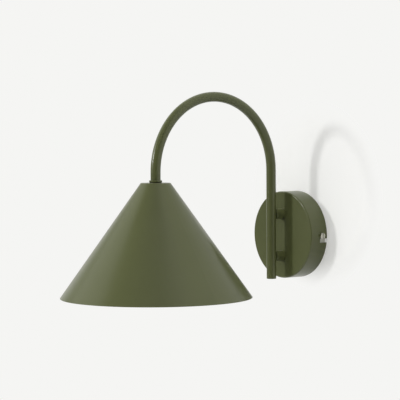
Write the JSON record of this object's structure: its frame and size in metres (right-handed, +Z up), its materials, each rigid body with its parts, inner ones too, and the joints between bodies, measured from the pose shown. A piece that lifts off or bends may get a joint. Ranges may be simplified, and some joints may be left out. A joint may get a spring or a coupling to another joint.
{
  "type": "gooseneck wall sconce",
  "caption": "Wall lamp with a round bayonet-fixed cup, a half-round gooseneck tube on short posts and a wide cone shade over a small screw-cap bulb.",
  "frame": {"origin": "centre of the wall cup on the wall plane", "axes": "+Y into the wall, so the lamp stands out of it along -Y; +Z up; +X to the right of someone facing the wall"},
  "size_m": [0.2095, 0.3113, 0.2245],
  "materials": {
    "zinc_plated_steel": "bright zinc plating",
    "olive_powder_coat": "satin powder coat",
    "drawn_brass": "bright drawn brass",
    "black_fibre": "matte vulcanised fibre",
    "black_thermoplastic": "fine spark-eroded",
    "white_thermoset": "moulded thermoset",
    "phosphor_bronze": "rolled spring strip",
    "solder": "dull solder",
    "black_glass": "fused black glass",
    "nickel_plated_brass": "nickel plated",
    "bulb_glass": "blown clear glass",
    "stem_glass": "clear drawn glass",
    "phosphor_silicone": "coated filament",
    "natural_nylon": "moulded nylon",
    "brown_pvc": "extruded PVC",
    "blue_pvc": "extruded PVC",
    "green_yellow_pvc": "extruded PVC"
  },
  "bodies": {
    "wall_fixing": {"wall_bracket": "zinc_plated_steel", "lock_screws": "zinc_plated_steel", "earth_stud": "zinc_plated_steel", "earth_washer": "zinc_plated_steel", "earth_nut": "zinc_plated_steel"},
    "lamp": {"wall_cup": "olive_powder_coat", "post_upper": "olive_powder_coat", "post_lower": "olive_powder_coat", "post_nipple": "drawn_brass", "post_nipple_washer": "zinc_plated_steel", "post_nipple_nut": "zinc_plated_steel", "earth_tag": "zinc_plated_steel", "post_screw_washer": "zinc_plated_steel", "post_screw": "zinc_plated_steel", "arm_tube": "olive_powder_coat", "arm_end_plug": "olive_powder_coat", "arm_collar": "olive_powder_coat", "shade_washer": "black_fibre", "shade": "olive_powder_coat", "shade_lock_washer": "zinc_plated_steel", "shade_nut": "zinc_plated_steel", "holder_cap": "black_thermoplastic", "holder_grub_screw": "zinc_plated_steel", "holder_sleeve": "black_thermoplastic", "holder_insert": "white_thermoset", "holder_shell": "drawn_brass", "holder_contact": "phosphor_bronze", "terminal_block": "natural_nylon", "terminal_clamps": "drawn_brass", "terminal_screws": "zinc_plated_steel", "terminal_stud": "zinc_plated_steel", "terminal_nut": "zinc_plated_steel", "wire_live": "brown_pvc", "wire_neutral": "blue_pvc", "wire_earth": "green_yellow_pvc"},
    "bulb": {"bulb_contact": "solder", "bulb_insulator": "black_glass", "bulb_shell": "nickel_plated_brass", "bulb_globe": "bulb_glass", "bulb_stem": "stem_glass", "bulb_filaments": "phosphor_silicone"}
  },
  "joints": [
    {"name": "cup_twist", "type": "hinge", "parent": "wall_fixing", "child": "lamp", "pos_m": [0, 0, 0], "axis": [0, 1, 0], "range_deg": [-6.3, 0]},
    {"name": "bulb_out", "type": "slide", "parent": "lamp", "child": "bulb", "axis": [0, 0, -1], "range_m": [0, 0.1]}
  ]
}
